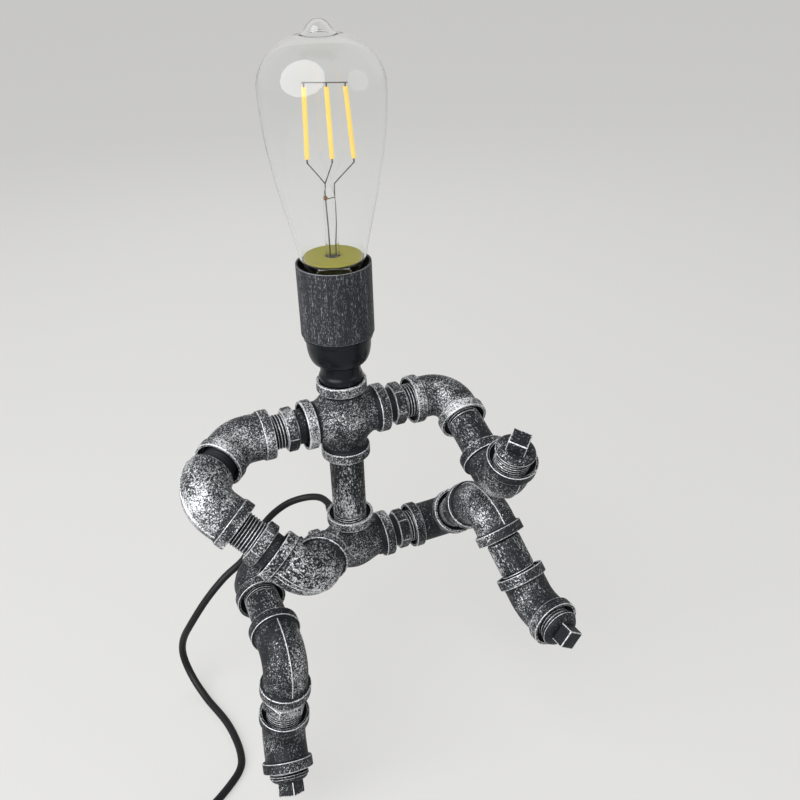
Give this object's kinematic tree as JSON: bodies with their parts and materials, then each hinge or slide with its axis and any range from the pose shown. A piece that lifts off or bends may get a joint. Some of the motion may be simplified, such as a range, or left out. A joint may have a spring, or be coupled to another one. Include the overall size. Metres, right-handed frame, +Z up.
{
  "type": "robot shaped desk lamp",
  "caption": "Seated robot figure made of malleable iron pipe fittings, with swivelling limbs, a lampholder neck and a filament bulb head, on a cord with switch and plug.",
  "frame": {"origin": "the point of the seat right under the middle of the pelvis tee, which rests on it", "axes": "+X to the right as seen from the front, -Y to the front, +Z up along the spine"},
  "size_m": [0.3299, 0.2763, 0.4383],
  "materials": {
    "pewter": "antique pewter: black with silver brushed over the raised places, satin",
    "pewter_pipe": "darkened steel with silver streaks",
    "pewter_plug": "antique pewter, pitted cast dome",
    "black_enamel": "gloss black enamel",
    "brushed_sleeve": "darkened metal brushed upright",
    "holder_plastic": "matte",
    "brass": "bright",
    "nickel": "nickel plated",
    "solder": "dull solder",
    "steel": "zinc plated",
    "glass": "clear",
    "stem_glass": "clear",
    "amber_disc": "phosphor yellow",
    "wire": "bare",
    "filament": "phosphor yellow coating",
    "cord": "satin sheath",
    "rubber": "satin",
    "black_plastic": "satin",
    "rocker_plastic": "gloss"
  },
  "bodies": {
    "pelvis": {"pelvis_tee": "pewter", "cord_bush": "rubber", "cord_gland": "black_enamel", "cord_tube": "cord", "cord_coil": "cord", "switch_base": "black_plastic", "switch_cover": "black_plastic", "switch_pivot": "steel", "mains_plug": "black_plastic", "plug_pins": "nickel"},
    "rocker": {"switch_rocker": "rocker_plastic"},
    "torso": {"spine_pipe": "pewter_pipe", "chest_cross": "pewter"},
    "head": {"neck_stud": "black_enamel", "cup_nut": "steel", "lamp_cup": "black_enamel", "lamp_sleeve": "brushed_sleeve", "lamp_holder": "holder_plastic", "screw_shell": "brass", "holder_contact": "brass"},
    "bulb_lift": {"bulb_contact": "solder"},
    "bulb": {"bulb_cap": "nickel", "bulb_glass": "glass", "bulb_disc": "amber_disc", "bulb_stem": "stem_glass", "bulb_wires": "wire", "bulb_filaments": "filament"},
    "right_arm": {"right_shoulder_nipple": "pewter_pipe", "right_elbow": "pewter", "right_forearm_pipe": "pewter_pipe"},
    "right_hand": {"right_hand": "pewter", "right_hand_plug": "pewter_plug"},
    "left_arm": {"left_shoulder_nipple": "pewter_pipe", "left_shoulder_elbow": "pewter"},
    "left_forearm": {"left_street_elbow": "pewter", "left_wrist_nipple": "pewter_pipe"},
    "left_hand": {"left_hand": "pewter", "left_hand_plug": "pewter_plug"},
    "right_thigh": {"right_hip_nipple": "pewter_pipe", "right_hip_elbow": "pewter", "right_thigh_pipe": "pewter_pipe"},
    "right_shin": {"right_knee": "pewter", "right_shin_pipe": "pewter_pipe"},
    "right_foot": {"right_foot": "pewter", "right_foot_plug": "pewter_plug"},
    "left_thigh": {"left_hip_nipple": "pewter_pipe", "left_hip_elbow": "pewter", "left_thigh_pipe": "pewter_pipe"},
    "left_shin": {"left_knee": "pewter", "left_shin_nipple": "pewter_pipe"},
    "left_foot": {"left_foot": "pewter", "left_foot_plug": "pewter_plug"}
  },
  "joints": [
    {"name": "waist_swivel", "type": "hinge", "parent": "pelvis", "child": "torso", "pos_m": [0, 0, 0.041], "axis": [0, 0, 1], "range_deg": [-45, 40]},
    {"name": "neck_swivel", "type": "hinge", "parent": "torso", "child": "head", "pos_m": [0, 0, 0.139], "axis": [0, 0, 1], "range_deg": [-165, 165]},
    {"name": "right_shoulder_swivel", "type": "hinge", "parent": "torso", "child": "right_arm", "pos_m": [0.026, 0, 0.113], "axis": [1, 0, 0], "range_deg": [-90, 0]},
    {"name": "right_wrist_swivel", "type": "hinge", "parent": "right_arm", "child": "right_hand", "pos_m": [0.0695, -0.04792, 0.09556], "axis": [0, -0.9397, -0.342], "range_deg": [-90, 90]},
    {"name": "left_shoulder_swivel", "type": "hinge", "parent": "torso", "child": "left_arm", "pos_m": [-0.026, 0, 0.113], "axis": [-1, 0, 0], "range_deg": [0, 45]},
    {"name": "left_elbow_swivel", "type": "hinge", "parent": "left_arm", "child": "left_forearm", "pos_m": [-0.081, -0.01418, 0.10999], "axis": [-0.7071, -0.6917, -0.147], "range_deg": [0, 30]},
    {"name": "left_wrist_swivel", "type": "hinge", "parent": "left_forearm", "child": "left_hand", "pos_m": [-0.06527, -0.05892, 0.0748], "axis": [0.6243, -0.5131, -0.589], "range_deg": [-30, 45]},
    {"name": "right_hip_swivel", "type": "hinge", "parent": "pelvis", "child": "right_thigh", "pos_m": [0.026, 0, 0.015], "axis": [1, 0, 0], "range_deg": [0, 45]},
    {"name": "right_knee_swivel", "type": "hinge", "parent": "right_thigh", "child": "right_shin", "pos_m": [0.0675, -0.03401, 0.04671], "axis": [0, -0.7314, 0.682], "range_deg": [-25, 15]},
    {"name": "right_ankle_swivel", "type": "hinge", "parent": "right_shin", "child": "right_foot", "pos_m": [0.07592, -0.0856, 0.02951], "axis": [0.1736, -0.6716, -0.7202], "range_deg": [-60, 60]},
    {"name": "left_hip_swivel", "type": "hinge", "parent": "pelvis", "child": "left_thigh", "pos_m": [-0.026, 0, 0.015], "axis": [-1, 0, 0], "range_deg": [-15, 5]},
    {"name": "left_knee_swivel", "type": "hinge", "parent": "left_thigh", "child": "left_shin", "pos_m": [-0.069, -0.04893, 0.01244], "axis": [0, -0.9986, -0.0523], "range_deg": [-20, 30]},
    {"name": "left_ankle_swivel", "type": "hinge", "parent": "left_shin", "child": "left_foot", "pos_m": [-0.0736, -0.07261, -0.03262], "axis": [-0.1045, 0.052, -0.9932], "range_deg": [-45, 45]},
    {"name": "bulb_travel", "type": "slide", "parent": "head", "child": "bulb_lift", "axis": [0, 0, 1], "range_m": [0, 0.0128]},
    {"name": "bulb_turn", "type": "hinge", "parent": "bulb_lift", "child": "bulb", "pos_m": [0, 0, 0.192], "axis": [0, 0, 1], "range_deg": [0, 1260]},
    {"name": "switch_rock", "type": "hinge", "parent": "pelvis", "child": "rocker", "pos_m": [-0.168, -0.0988, -0.0902], "axis": [0.6, -0.8, 0], "range_deg": [-18, 0]}
  ],
  "couplings": [
    {"joint": "bulb_travel", "follows": "bulb_turn", "m_per_rad": 0.00057757}
  ]
}
